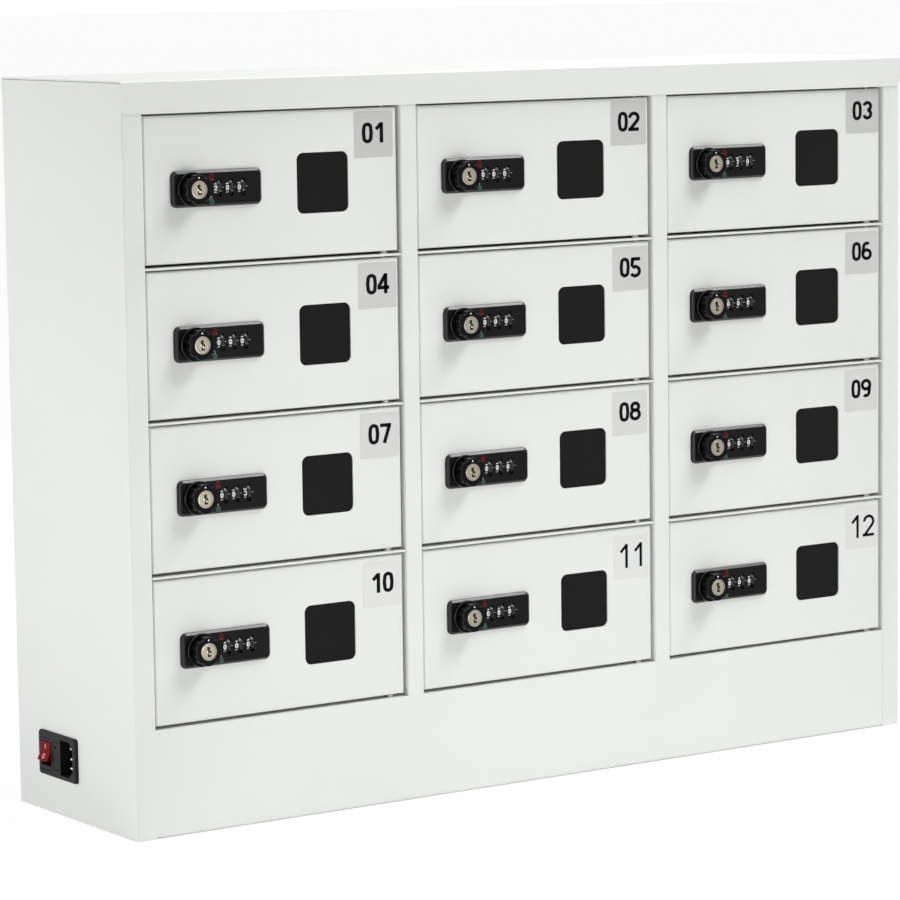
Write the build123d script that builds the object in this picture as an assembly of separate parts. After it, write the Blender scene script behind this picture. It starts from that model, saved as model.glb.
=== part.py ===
"""Phone locker cabinet: twelve small doors with combination cam locks in a folded sheet-steel body.

Millimetres. The origin is the middle of the base on the floor. +X is to the right as seen from the
front, +Y is to the back and +Z is up. Each node is written to parts/NODE.step.
"""
from build123d import *

import os
from math import cos, radians, sin

# ------------------------------------------------------------------ driving sizes: cabinet
width = 684.0            # over the side panels
depth = 171.0            # from the fascia to the rear flange of the cover
height = 520.0
columns = 3
rows = 4
sheet = 1.0              # sheet steel of the cabinet
stile_width = 16.4       # front return of each side panel
mullion_width = 14.2     # upright between two columns
return_depth = 15.0      # how far the stiles and mullions fold back
bend_radius = 1.4        # outside of a visible fold
plinth_height = 75.9     # floor to the top face of the deck
header_height = 22.6     # top of the cabinet down to the underside of the ceiling
shelf_sheet = 1.5        # thickness of the decks between the rows
shelf_setback = 0.5      # shelf edge behind the front plane
seam = 0.3               # open joint between neighbouring sheets
side_flange = 12.0       # inward flanges of the side panels, top and back
cover_sheet = 1.2
cover_corner = 5.0       # rounded lower corners of the fascia
fascia_gap = 1.6         # lower edge of the fascia to the top of the first doors
rear_flange = 16.0       # drop of the cover at the back
cable_space = 28.0       # between the charging wall and the back of the body

# ------------------------------------------------------------------ driving sizes: doors
door_sheet = 1.0
door_gap_side = 1.7      # door to stile or mullion
door_gap_top = 1.3       # door to the deck above it
door_gap_low = 2.0       # door to the deck below it
door_setback = 2.0       # door face behind the front plane
door_depth = 13.0        # folded edges of the pan
door_bend = 1.8
window_size = 42.2       # square cut-out for the pane
window_corner = 5.0
window_left = 121.2      # left edge of the door to the cut-out
pane_lap = 3.0           # pane beyond the cut-out
pane_thickness = 1.5

# ------------------------------------------------------------------ driving sizes: hinge pins
pin_radius = 1.5
pin_side = 9.8           # pin axis to the right edge of the door
pin_back = 5.0           # pin axis behind the door face
pin_tail = 2.0           # pin beyond the folded edge that it carries
collar_radius = 3.4
running_gap = 0.05       # radial clearance of a shaft in its hole
rest_gap = 0.3           # clearance between faces that move past each other

# ------------------------------------------------------------------ driving sizes: locks
plate_left = 20.0        # left edge of the door to the lock plate
plate_width = 71.5
plate_height = 24.8
plate_thickness = 3.0
plate_corner = 4.0
plate_bevel = 1.6
case_lip = 2.5           # plate beyond the case at each end
case_depth = 18.0        # case behind the door face
case_wall = 1.5
knob_left = 14.8         # left edge of the plate to the knob axis
knob_collar_radius = 11.8
knob_collar = 2.6
knob_radius = 10.2
knob_reach = 10.5        # knob in front of the plate
knob_scallops = 6
scallop_radius = 2.4
plug_radius = 6.2
plug_depth = 7.5
plug_proud = 0.5
keyway_width = 1.4
keyway_height = 7.0
keyway_depth = 5.5
spindle_radius = 5.0
cam_thickness = 2.0
cam_width = 12.0
cam_catch = 5.0          # cam behind the frame when it is locked
nut_radius = 5.5
nut_height = 2.5
wheels = 3
wheel_radius = 8.0
wheel_width = 6.0
wheel_left = 35.0        # left edge of the plate to the first wheel
wheel_pitch = 9.4
wheel_proud = 1.8        # wheel in front of the plate
wheel_gap = 0.5
axle_radius = 1.5
axle_end = 4.0           # axle beyond the outer wheels

# ------------------------------------------------------------------ driving sizes: charging and power
port_width = 40.0
port_height = 22.0
port_flange = 2.0
port_lip = 2.0           # flange beyond the port's body
port_length = 18.0       # port behind the charging wall
socket_width = 13.2
socket_height = 5.6
socket_depth = 11.0
socket_pitch = 17.0
cable_radius = 3.0
cable_bend = 18.0
supply_width = 215.0
supply_depth = 98.0
supply_height = 50.0
inlet_length = 54.0      # along the depth of the cabinet
inlet_height = 32.0
inlet_corner = 2.5
inlet_flange = 2.6
inlet_lip = 2.0
inlet_body = 32.0        # body behind the side panel
inlet_back = 108.8       # front plane to the middle of the inlet
inlet_level = 42.7       # floor to the middle of the inlet
recess_length = 17.7     # socket recess, along the depth
recess_height = 25.4
recess_chamfer = 5.0
recess_depth = 17.0
recess_front = 4.2       # front edge of the flange to the recess
contact_width = 2.0
contact_height = 4.0
contact_length = 12.5
contact_pitch = 7.0
contact_stagger = 2.5
fuse_width = 7.6
fuse_height = 20.0
fuse_length = 24.0
fuse_radius = 2.5
drawer_wall = 2.0        # drawer round the fuse
fuse_gap = 3.0           # recess to the fuse drawer
rocker_width = 14.0
rocker_height = 14.0
rocker_gap = 2.9         # fuse drawer to the rocker
rocker_drop = 5.0        # rocker's pivot behind the flange face
rocker_depth = 6.5       # half depth of the rocker body about its pivot
rocker_tilt = 14.0        # each side of the middle
rocker_rise = 1.0        # middle of the rocker in front of the flange
rocker_dish = 1.4        # ends of the rocker in front of its middle
rocker_taper = 2.0       # rocker body narrows behind
rocker_well = 14.0
pivot_radius = 1.5
pivot_end = 1.5          # pivot stub into the housing

# ------------------------------------------------------------------ derived places
left = -width / 2
right = width / 2
front = -depth / 2 + sheet           # front plane of the stiles, mullions and plinth
back = depth / 2 - sheet             # rear edge of the side panels
column_open = (width - 2 * stile_width - (columns - 1) * mullion_width) / columns
column_pitch = column_open + mullion_width
row_open = (height - header_height - plinth_height - (rows - 1) * shelf_sheet) / rows
row_pitch = row_open + shelf_sheet
ceiling = height - header_height     # underside of the ceiling
door_width = column_open - 2 * door_gap_side
door_height = row_open - door_gap_top - door_gap_low
fascia_height = header_height + door_gap_top - fascia_gap
charging_wall = back - cable_space   # front face of the inner wall
cover_seat = height - cover_sheet - seam
door_face = front + door_setback
plate_face = door_face - plate_thickness
pin_y = door_face + pin_back
case_height = 2 * (wheel_radius + wheel_gap + case_wall)
wheel_y = plate_face + wheel_radius - wheel_proud
knob_x = plate_left + knob_left      # from the left edge of the door
cam_length = knob_x + door_gap_side + cam_catch
inlet_y = front + inlet_back
recess_y = inlet_y - inlet_length / 2 + recess_front + recess_length / 2
fuse_y = recess_y + recess_length / 2 + fuse_gap + fuse_width / 2
rocker_y = fuse_y + fuse_width / 2 + rocker_gap + rocker_width / 2
inlet_face = left - inlet_flange
rocker_x = inlet_face + rocker_drop


# ------------------------------------------------------------------ small helpers
def block(x0, x1, y0, y1, z0, z1):
    """A box between two opposite corners."""
    return Pos((x0 + x1) / 2, (y0 + y1) / 2, (z0 + z1) / 2) * Box(x1 - x0, y1 - y0, z1 - z0)


def rod_x(radius, x0, x1, y, z):
    return Pos((x0 + x1) / 2, y, z) * Rot(0, 90, 0) * Cylinder(radius, x1 - x0)


def rod_y(radius, y0, y1, x, z):
    return Pos(x, (y0 + y1) / 2, z) * Rot(90, 0, 0) * Cylinder(radius, y1 - y0)


def rod_z(radius, z0, z1, x, y):
    return Pos(x, y, (z0 + z1) / 2) * Cylinder(radius, z1 - z0)


def joined(pieces):
    """One solid from pieces that share faces."""
    whole = pieces[0]
    for piece in pieces[1:]:
        whole = whole + piece
    return whole


def cut_away(shape, tools):
    for tool in tools:
        shape = shape - tool
    return shape


def edge_near(shape, axis, x, y, z):
    """The edge along an axis whose middle is nearest to a point."""
    return shape.edges().filter_by(axis).sort_by_distance((x, y, z))[0]


def mirrored(shape):
    """The same piece for the other side of the cabinet."""
    return mirror(shape, about=Plane.YZ)


def save(name, *solids):
    """Write one node, as one solid or as a group of separate solids."""
    if len(solids) == 1:
        shape = solids[0]
    else:
        shape = Compound(children=list(solids))
    export_step(shape, "parts/" + name + ".step")


def column_left(column):
    """Left side of a column's opening."""
    return left + stile_width + column * column_pitch


def row_floor(row):
    """Top face of the deck under a row; row 0 is the top one."""
    return plinth_height + (rows - 1 - row) * row_pitch


def door_left(column):
    return column_left(column) + door_gap_side


def door_right(column):
    return door_left(column) + door_width


def door_bottom(row):
    return row_floor(row) + door_gap_low


def door_middle(row):
    return door_bottom(row) + door_height / 2


def pin_x(column):
    return door_right(column) - pin_side


# ------------------------------------------------------------------ cabinet shell
def side_panel():
    """Left side, folded from one sheet: wall, front stile with its return, top and back flanges."""
    wall = block(left, left + sheet, front, back, 0, cover_seat)
    stile = block(left, left + stile_width, front, front + sheet, 0, cover_seat)
    stile_return = block(left + stile_width - sheet, left + stile_width,
                         front, front + return_depth, 0, cover_seat)
    top_flange = block(left, left + side_flange, front + return_depth, back,
                       cover_seat - sheet, cover_seat)
    back_flange = block(left, left + side_flange, back - sheet, back, 0, cover_seat)
    panel = joined([wall, stile, stile_return, top_flange, back_flange])
    folds = [edge_near(panel, Axis.Z, x, front, height / 2) for x in (left, left + stile_width)]
    return fillet(folds, bend_radius)


def inlet_cutout():
    """Rectangular hole in the left side for the body of the power inlet."""
    half_length = inlet_length / 2 - inlet_lip + seam
    half_height = inlet_height / 2 - inlet_lip + seam
    return block(left - sheet, left + 2 * sheet, inlet_y - half_length, inlet_y + half_length,
                 inlet_level - half_height, inlet_level + half_height)


def top_cover():
    """Lid sheet with the fascia folded down in front and a shorter flange behind."""
    lid = block(left, right, front - sheet, back + sheet, height - cover_sheet, height)
    fascia = block(left, right, front - sheet, front, height - fascia_height, height)
    rear = block(left, right, back, back + sheet, height - rear_flange, height)
    cover = joined([lid, fascia, rear])
    low_corners = [edge_near(cover, Axis.Y, side, front, height - fascia_height)
                   for side in (left, right)]
    rear_corners = [edge_near(cover, Axis.Y, side, back, height - rear_flange)
                    for side in (left, right)]
    cover = fillet(low_corners + rear_corners, cover_corner)
    front_fold = edge_near(cover, Axis.X, 0, front - sheet, height)
    return fillet(front_fold, bend_radius)


def mullion(x0, x1):
    """Upright between two columns, a channel that is open behind."""
    face = block(x0, x1, front, front + sheet, plinth_height, ceiling)
    returns = [block(x, x + sheet, front, front + return_depth, plinth_height, ceiling)
               for x in (x0, x1 - sheet)]
    channel = joined([face] + returns)
    folds = [edge_near(channel, Axis.Z, x, front, height / 2) for x in (x0, x1)]
    return fillet(folds, bend_radius)


def front_frame():
    """Plinth, mullions and header in one welded face with folded returns."""
    inner = width / 2 - stile_width - seam
    plinth_bottom = sheet + seam
    shelf_under = plinth_height - shelf_sheet
    pieces = [
        block(-inner, inner, front, front + sheet, plinth_bottom, plinth_height),
        block(-inner, inner, front, front + return_depth, shelf_under - sheet, shelf_under),
        block(-inner, inner, front, front + return_depth, plinth_bottom, plinth_bottom + sheet),
        block(-inner, inner, front, front + sheet, ceiling, cover_seat),
        block(-inner, inner, front, front + return_depth,
              ceiling + shelf_sheet, ceiling + shelf_sheet + sheet),
    ]
    for side in (-1, 1):
        edge = side * (inner - sheet / 2)
        pieces.append(block(edge - sheet / 2, edge + sheet / 2, front, front + return_depth,
                            plinth_bottom, shelf_under))
    for column in range(1, columns):
        x1 = column_left(column)
        pieces.append(mullion(x1 - mullion_width, x1))
    return joined(pieces)


def back_panel():
    """Back and base folded from one sheet."""
    inner = width / 2 - sheet - seam
    rear = back - sheet
    wall = block(-inner, inner, rear - sheet, rear, 0, cover_seat - sheet - seam)
    base = block(-inner, inner, front + sheet + seam, rear, 0, sheet)
    notch_depth = return_depth + seam
    base = cut_away(base, [
        block(side * inner - stile_width, side * inner + stile_width,
              front, front + notch_depth, -sheet, 2 * sheet)
        for side in (-1, 1)
    ])
    panel = wall + base
    fold = edge_near(panel, Axis.X, 0, rear, 0)
    return fillet(fold, bend_radius / 2)


# ------------------------------------------------------------------ compartments
def deck_ends(column):
    """The two ends of a deck, between partitions or side panels."""
    half_partition = sheet / 2 + seam
    start = column_left(column) - mullion_width / 2 + half_partition
    end = column_left(column) + column_open + mullion_width / 2 - half_partition
    if column == 0:
        start = left + sheet + seam
    if column == columns - 1:
        end = right - sheet - seam
    return start, end


def pin_hole(column, z0, z1):
    return rod_z(pin_radius + running_gap, z0 - sheet, z1 + sheet, pin_x(column), pin_y)


def deck(column, underside):
    """Deck or ceiling: a plain plate behind the face frame."""
    start, end = deck_ends(column)
    top = underside + shelf_sheet
    plate = block(start, end, front + sheet, charging_wall, underside, top)
    notch = front + return_depth + seam
    if column == 0:
        plate -= block(start - seam, left + stile_width + seam, front, notch, underside, top)
    if column == columns - 1:
        plate -= block(right - stile_width - seam, end + seam, front, notch, underside, top)
    return plate - pin_hole(column, underside, top)


def shelf(column, underside):
    """Shelf whose front edge shows between two rows, notched round the folded uprights."""
    start, end = deck_ends(column)
    top = underside + shelf_sheet
    plate = block(start, end, front + return_depth + seam, charging_wall, underside, top)
    lip_left = column_left(column) + seam
    lip_right = column_left(column) + column_open - seam
    lip = block(lip_left, lip_right, front + shelf_setback, front + return_depth + seam,
                underside, top)
    return plate + lip - pin_hole(column, underside, top)


def port_hole(column, row):
    half_width = port_width / 2 - port_lip + seam
    half_height = port_height / 2 - port_lip + seam
    x = column_left(column) + column_open / 2
    z = row_floor(row) + row_open / 2
    return block(x - half_width, x + half_width, charging_wall - sheet, charging_wall + 2 * sheet,
                 z - half_height, z + half_height)


def compartment_grid():
    """Partitions, decks, shelves and charging wall, as separate spot-welded sheets."""
    bottom = plinth_height - shelf_sheet
    top = ceiling + shelf_sheet
    sheets = []
    for column in range(1, columns):
        x = column_left(column) - mullion_width / 2
        sheets.append(block(x - sheet / 2, x + sheet / 2, front + return_depth + seam,
                            charging_wall, bottom, top))
    for column in range(columns):
        sheets.append(deck(column, bottom))
        sheets.append(deck(column, ceiling))
        for row in range(1, rows):
            sheets.append(shelf(column, row_floor(row - 1) - shelf_sheet))
    inner = width / 2 - sheet - seam
    wall = block(-inner, inner, charging_wall, charging_wall + sheet, bottom, top)
    holes = [port_hole(column, row) for column in range(columns) for row in range(rows)]
    sheets.append(cut_away(wall, holes))
    return sheets


def hinge_pin(column, underside, up, down):
    """Pin riveted through a deck; its shoulder carries the door above, its tail guides the one below."""
    top = underside + shelf_sheet
    through_door = door_sheet + pin_tail
    tail = underside - (door_gap_top + through_door if down else 0)
    tip = top + (door_gap_low + through_door if up else 0)
    x = pin_x(column)
    pin = rod_z(pin_radius, tail, tip, x, pin_y)
    if up:
        pin += rod_z(collar_radius, top, top + door_gap_low - rest_gap, x, pin_y)
    return pin


def hinge_pins():
    pins = []
    for column in range(columns):
        pins.append(hinge_pin(column, ceiling, up=False, down=True))
        for row in range(1, rows):
            pins.append(hinge_pin(column, row_floor(row - 1) - shelf_sheet, up=True, down=True))
        pins.append(hinge_pin(column, plinth_height - shelf_sheet, up=True, down=False))
    return pins


# ------------------------------------------------------------------ charging and power
def charging_port(column, row):
    """Snap-in module with two sockets that face the compartment."""
    x = column_left(column) + column_open / 2
    z = row_floor(row) + row_open / 2
    face = charging_wall - port_flange
    half_width = port_width / 2
    half_height = port_height / 2
    flange = block(x - half_width, x + half_width, face, charging_wall,
                   z - half_height, z + half_height)
    body = block(x - half_width + port_lip, x + half_width - port_lip, charging_wall,
                 charging_wall + port_length, z - half_height + port_lip, z + half_height - port_lip)
    sockets = [
        block(x + side * socket_pitch / 2 - socket_width / 2,
              x + side * socket_pitch / 2 + socket_width / 2,
              face - port_flange, face + socket_depth, z - socket_height / 2, z + socket_height / 2)
        for side in (-1, 1)
    ]
    return cut_away(flange + body, sockets)


def cable(points, bends):
    """Round cable along straight runs joined by tangent arcs."""
    line = FilletPolyline(*points, radius=bends) if bends else Polyline(*points)
    start = Plane(origin=line @ 0, z_dir=line % 0)
    return sweep(start * Circle(cable_radius), path=line)


def power_supply():
    """Supply on the base, three risers behind the ports and the lead from the inlet."""
    rear = back - 2 * sheet - rest_gap
    case = block(-supply_width / 2, supply_width / 2, rear - supply_depth, rear,
                 sheet, sheet + supply_height)
    riser_y = charging_wall + port_length + cable_radius + rest_gap
    top = row_floor(0) + row_open / 2
    level = sheet + supply_height / 2
    solids = [case]
    for column in range(columns):
        x = column_left(column) + column_open / 2
        over_supply = abs(x) < supply_width / 2
        if over_supply:
            points = [(x, riser_y, top), (x, riser_y, sheet + supply_height)]
            bends = []
        else:
            end = supply_width / 2 if x > 0 else -supply_width / 2
            points = [(x, riser_y, top), (x, riser_y, level), (end, riser_y, level)]
            bends = [cable_bend]
        solids.append(cable(points, bends))
    lead = rod_x(cable_radius, left + inlet_body, -supply_width / 2, inlet_y, inlet_level)
    solids.append(lead)
    return solids


def power_inlet():
    """Flush module: flange, body, socket recess with three contacts, fuse pocket and rocker well."""
    half_length = inlet_length / 2
    half_height = inlet_height / 2
    flange = block(inlet_face, left, inlet_y - half_length, inlet_y + half_length,
                   inlet_level - half_height, inlet_level + half_height)
    flange = fillet(flange.edges().filter_by(Axis.X), inlet_corner)
    body = block(left, left + inlet_body, inlet_y - half_length + inlet_lip,
                 inlet_y + half_length - inlet_lip, inlet_level - half_height + inlet_lip,
                 inlet_level + half_height - inlet_lip)
    recess = block(inlet_face, inlet_face + recess_depth, recess_y - recess_length / 2,
                   recess_y + recess_length / 2, inlet_level - recess_height / 2,
                   inlet_level + recess_height / 2)
    keyed = [edge_near(recess, Axis.X, inlet_face, recess_y - recess_length / 2,
                       inlet_level + side * recess_height / 2) for side in (-1, 1)]
    recess = chamfer(keyed, recess_chamfer)
    fuse_pocket = block(inlet_face, inlet_face + fuse_length + rest_gap,
                        fuse_y - fuse_width / 2 - rest_gap, fuse_y + fuse_width / 2 + rest_gap,
                        inlet_level - fuse_height / 2 - rest_gap,
                        inlet_level + fuse_height / 2 + rest_gap)
    well_half = (rocker_height / 2 * cos(radians(rocker_tilt)) + rest_gap
                 + (rocker_drop + rocker_rise + rocker_dish) * sin(radians(rocker_tilt)))
    well = block(inlet_face, inlet_face + rocker_well, rocker_y - rocker_width / 2 - rest_gap,
                 rocker_y + rocker_width / 2 + rest_gap, inlet_level - well_half,
                 inlet_level + well_half)
    pivot_reach = rocker_width / 2 + pivot_end + rest_gap
    pivot = rod_y(pivot_radius + running_gap, rocker_y - pivot_reach, rocker_y + pivot_reach,
                  rocker_x, inlet_level)
    housing = cut_away(flange + body, [recess, fuse_pocket, well, pivot])
    contacts = []
    for number, offset in ((-1, 0), (0, -1), (1, 0)):
        z = inlet_level + number * contact_pitch
        y = recess_y + offset * contact_stagger
        end = inlet_face + recess_depth
        contacts.append(block(end - contact_length, end, y - contact_height / 2,
                              y + contact_height / 2, z - contact_width / 2, z + contact_width / 2))
    return [housing] + contacts


def fuse_drawer():
    """Drawer that slides out of the inlet, and the glass fuse that lies in it."""
    stop = inlet_face + fuse_length
    body = block(inlet_face, stop, fuse_y - fuse_width / 2, fuse_y + fuse_width / 2,
                 inlet_level - fuse_height / 2, inlet_level + fuse_height / 2)
    tray = block(inlet_face + drawer_wall, stop - drawer_wall, fuse_y - fuse_width,
                 fuse_y + fuse_radius, inlet_level - fuse_height / 2 + drawer_wall,
                 inlet_level + fuse_height / 2 - drawer_wall)
    fuse = rod_x(fuse_radius, inlet_face + drawer_wall, stop - drawer_wall, fuse_y - rest_gap,
                 inlet_level)
    return [body - tray, fuse]


def rocker_switch():
    """Rocker with a shallow V face; at rest its lower end stands out, which is ON."""
    end = rocker_height / 2
    middle_face = -rocker_drop - rocker_rise
    end_face = middle_face - rocker_dish
    outline = Polyline(
        (end_face, -end), (middle_face, 0), (end_face, end),
        (rocker_depth - rocker_taper, end - rocker_taper), (rocker_depth, 0),
        (rocker_depth - rocker_taper, -end + rocker_taper), close=True)
    profile = Plane.XZ * make_face(outline)
    body = extrude(profile, rocker_width / 2, both=True)
    reach = rocker_width / 2 + pivot_end
    body += rod_y(pivot_radius, -reach, reach, 0, 0)
    return Pos(rocker_x, rocker_y, inlet_level) * Rot(0, rocker_tilt, 0) * body


# ------------------------------------------------------------------ doors and locks
def door(column, row):
    """Folded pan with the window cut-out, the lock cut-out and two pin holes."""
    x0 = door_left(column)
    x1 = door_right(column)
    z0 = door_bottom(row)
    z1 = z0 + door_height
    middle = door_middle(row)
    pan = block(x0, x1, door_face, door_face + door_depth, z0, z1)
    front_edges = pan.faces().sort_by(Axis.Y)[0].edges()
    pan = fillet(front_edges, door_bend)
    pan -= block(x0 + door_sheet, x1 - door_sheet, door_face + door_sheet,
                 door_face + 2 * door_depth, z0 + door_sheet, z1 - door_sheet)
    half_window = window_size / 2
    window_x = x0 + window_left + half_window
    opening = block(window_x - half_window, window_x + half_window, door_face - sheet,
                    door_face + 2 * sheet, middle - half_window, middle + half_window)
    pan -= fillet(opening.edges().filter_by(Axis.Y), window_corner)
    case_half = case_height / 2 + rest_gap
    case_left = x0 + plate_left + case_lip - rest_gap
    case_right = x0 + plate_left + plate_width - case_lip + rest_gap
    pan -= block(case_left, case_right, door_face - sheet, door_face + 2 * sheet,
                 middle - case_half, middle + case_half)
    pan -= rod_z(pin_radius + running_gap, z0 - sheet, z1 + sheet, pin_x(column), pin_y)
    half_pane = half_window + pane_lap
    pane_front = door_face + door_sheet
    pane = block(window_x - half_pane, window_x + half_pane, pane_front,
                 pane_front + pane_thickness, middle - half_pane, middle + half_pane)
    return pan, pane


def wheel_places(x0):
    """Middles of the combination wheels of the lock whose plate starts at x0."""
    return [x0 + wheel_left + number * wheel_pitch for number in range(wheels)]


def axle_span(x0):
    places = wheel_places(x0)
    reach = wheel_width / 2 + axle_end
    return places[0] - reach, places[-1] + reach


def lock_case(column, row):
    """Bezel plate and case in one moulding, bored for the spindle, the wheels and their axle."""
    x0 = door_left(column) + plate_left
    x1 = x0 + plate_width
    middle = door_middle(row)
    plate = block(x0, x1, plate_face, door_face, middle - plate_height / 2, middle + plate_height / 2)
    plate = fillet(plate.edges().filter_by(Axis.Y), plate_corner)
    plate = chamfer(plate.faces().sort_by(Axis.Y)[0].edges(), plate_bevel)
    case = block(x0 + case_lip, x1 - case_lip, door_face, door_face + case_depth,
                 middle - case_height / 2, middle + case_height / 2)
    housing = plate + case
    tools = [rod_y(spindle_radius + running_gap, plate_face - sheet, door_face + case_depth + sheet,
                   x0 + knob_left, middle)]
    half_width = wheel_width / 2 + wheel_gap
    for x in wheel_places(x0):
        tools.append(rod_x(wheel_radius + wheel_gap, x - half_width, x + half_width, wheel_y, middle))
    axle_start, axle_stop = axle_span(x0)
    tools.append(rod_x(axle_radius + running_gap, axle_start - rest_gap, axle_stop + rest_gap,
                       wheel_y, middle))
    return cut_away(housing, tools)


def dials(column, row):
    """Three combination wheels on their axle."""
    x0 = door_left(column) + plate_left
    middle = door_middle(row)
    solids = []
    for x in wheel_places(x0):
        wheel = rod_x(wheel_radius, x - wheel_width / 2, x + wheel_width / 2, wheel_y, middle)
        solids.append(wheel - rod_x(axle_radius + running_gap, x - wheel_width, x + wheel_width,
                                    wheel_y, middle))
    axle_start, axle_stop = axle_span(x0)
    solids.append(rod_x(axle_radius, axle_start, axle_stop, wheel_y, middle))
    return solids


def knob(column, row):
    """Knob and spindle, the key plug in its nose, and the cam with its nut behind the case."""
    x = door_left(column) + knob_x
    middle = door_middle(row)
    seat = plate_face - rest_gap
    nose = plate_face - knob_reach
    rear = door_face + case_depth + rest_gap
    tail = rear + cam_thickness + nut_height
    collar = rod_y(knob_collar_radius, seat - knob_collar, seat, x, middle)
    grip = rod_y(knob_radius, nose, seat - knob_collar, x, middle)
    reach = knob_radius + scallop_radius / 2
    for number in range(knob_scallops):
        turn = Pos(x, 0, middle) * Rot(0, (number + 0.5) * 360 / knob_scallops, 0)
        grip -= turn * rod_y(scallop_radius, nose - sheet, seat - knob_collar, 0, reach)
    spindle = rod_y(spindle_radius, seat, rear, x, middle)
    stud = rod_y(spindle_radius / 2, rear, tail, x, middle)
    body = collar + grip + spindle + stud
    body -= rod_y(plug_radius + running_gap, nose - sheet, nose + plug_depth + rest_gap, x, middle)
    plug = rod_y(plug_radius, nose - plug_proud, nose + plug_depth, x, middle)
    plug -= block(x - keyway_width / 2, x + keyway_width / 2, nose - sheet, nose + keyway_depth,
                  middle - keyway_height / 2, middle + keyway_height / 2)
    cam = block(x - cam_width / 2, x + cam_width / 2, rear, rear + cam_thickness,
                middle - cam_length, middle + cam_width / 2)
    cam -= rod_y(spindle_radius / 2 + running_gap, rear - sheet, tail + sheet, x, middle)
    nut = rod_y(nut_radius, rear + cam_thickness, tail, x, middle)
    nut -= rod_y(spindle_radius / 2 + running_gap, rear - sheet, tail + sheet, x, middle)
    return body, plug, cam, nut


# ------------------------------------------------------------------ nodes
os.makedirs("parts", exist_ok=True)
left_panel = side_panel()
save("right_side_panel", mirrored(left_panel))
save("left_side_panel", left_panel - inlet_cutout())
save("top_cover", top_cover())
save("front_frame", front_frame())
save("back_panel", back_panel())
save("compartment_grid", *compartment_grid())
save("hinge_pins", *hinge_pins())
ports = [charging_port(column, row) for column in range(columns) for row in range(rows)]
save("charging_ports", *ports)
save("power_supply", *power_supply())
save("power_inlet", *power_inlet())
save("fuse_drawer", *fuse_drawer())
save("rocker_switch", rocker_switch())
for row in range(rows):
    for column in range(columns):
        number = "%02d" % (row * columns + column + 1)
        save("door_" + number, *door(column, row))
        save("lock_case_" + number, lock_case(column, row))
        save("knob_" + number, *knob(column, row))
        save("dials_" + number, *dials(column, row))
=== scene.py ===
import math

import bmesh
import bpy
from mathutils import Color, Matrix, Vector


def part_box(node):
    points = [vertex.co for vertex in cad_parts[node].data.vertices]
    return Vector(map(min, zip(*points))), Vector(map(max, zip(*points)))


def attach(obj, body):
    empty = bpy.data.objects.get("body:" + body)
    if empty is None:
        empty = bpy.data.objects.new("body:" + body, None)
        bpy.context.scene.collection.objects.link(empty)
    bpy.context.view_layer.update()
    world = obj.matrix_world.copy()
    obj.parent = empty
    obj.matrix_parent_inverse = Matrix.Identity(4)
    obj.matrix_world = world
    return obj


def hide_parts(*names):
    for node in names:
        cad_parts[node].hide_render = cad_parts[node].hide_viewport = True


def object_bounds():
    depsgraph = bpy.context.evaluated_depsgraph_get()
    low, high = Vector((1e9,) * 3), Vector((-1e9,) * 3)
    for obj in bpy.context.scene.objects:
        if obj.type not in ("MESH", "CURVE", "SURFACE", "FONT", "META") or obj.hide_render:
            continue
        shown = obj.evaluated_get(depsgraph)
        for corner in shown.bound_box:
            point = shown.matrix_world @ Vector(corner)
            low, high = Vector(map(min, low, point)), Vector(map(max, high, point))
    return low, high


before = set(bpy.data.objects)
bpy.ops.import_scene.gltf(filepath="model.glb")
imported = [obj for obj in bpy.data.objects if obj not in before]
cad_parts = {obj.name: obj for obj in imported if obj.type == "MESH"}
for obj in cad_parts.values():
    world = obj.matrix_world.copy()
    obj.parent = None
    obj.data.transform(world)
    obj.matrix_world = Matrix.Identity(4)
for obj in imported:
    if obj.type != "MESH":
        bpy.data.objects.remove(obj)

cad_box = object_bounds()
mm = 0.001


# ------------------------------------------------------------------ cabinet shell
# Five folded panels of thin sheet steel, spot-welded to each other and to the decks inside.
# They are sprayed with one white powder coat, semi-gloss, which dries with a fine orange peel.
coat_colour = (236, 238, 235)
coat_roughness = 0.42
peel_lump = 1.4 * mm
peel_depth = 0.006 * mm


def linear(colour):
    """A display colour, 0 to 255 a channel, as the light values that a shader takes."""
    shade = Color([channel / 255 for channel in colour]).from_srgb_to_scene_linear()
    return Vector(shade)


def noise(tree, lump, stretch=(1, 1, 1)):
    """Noise on the piece's own coordinates, with lumps of about the given size."""
    place = tree.nodes.new("ShaderNodeTexCoord")
    fit = tree.nodes.new("ShaderNodeMapping")
    fit.inputs["Scale"].default_value = stretch
    field = tree.nodes.new("ShaderNodeTexNoise")
    field.inputs["Scale"].default_value = 1 / lump
    tree.links.new(place.outputs["Object"], fit.inputs["Vector"])
    tree.links.new(fit.outputs["Vector"], field.inputs["Vector"])
    return field.outputs["Fac"]


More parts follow.
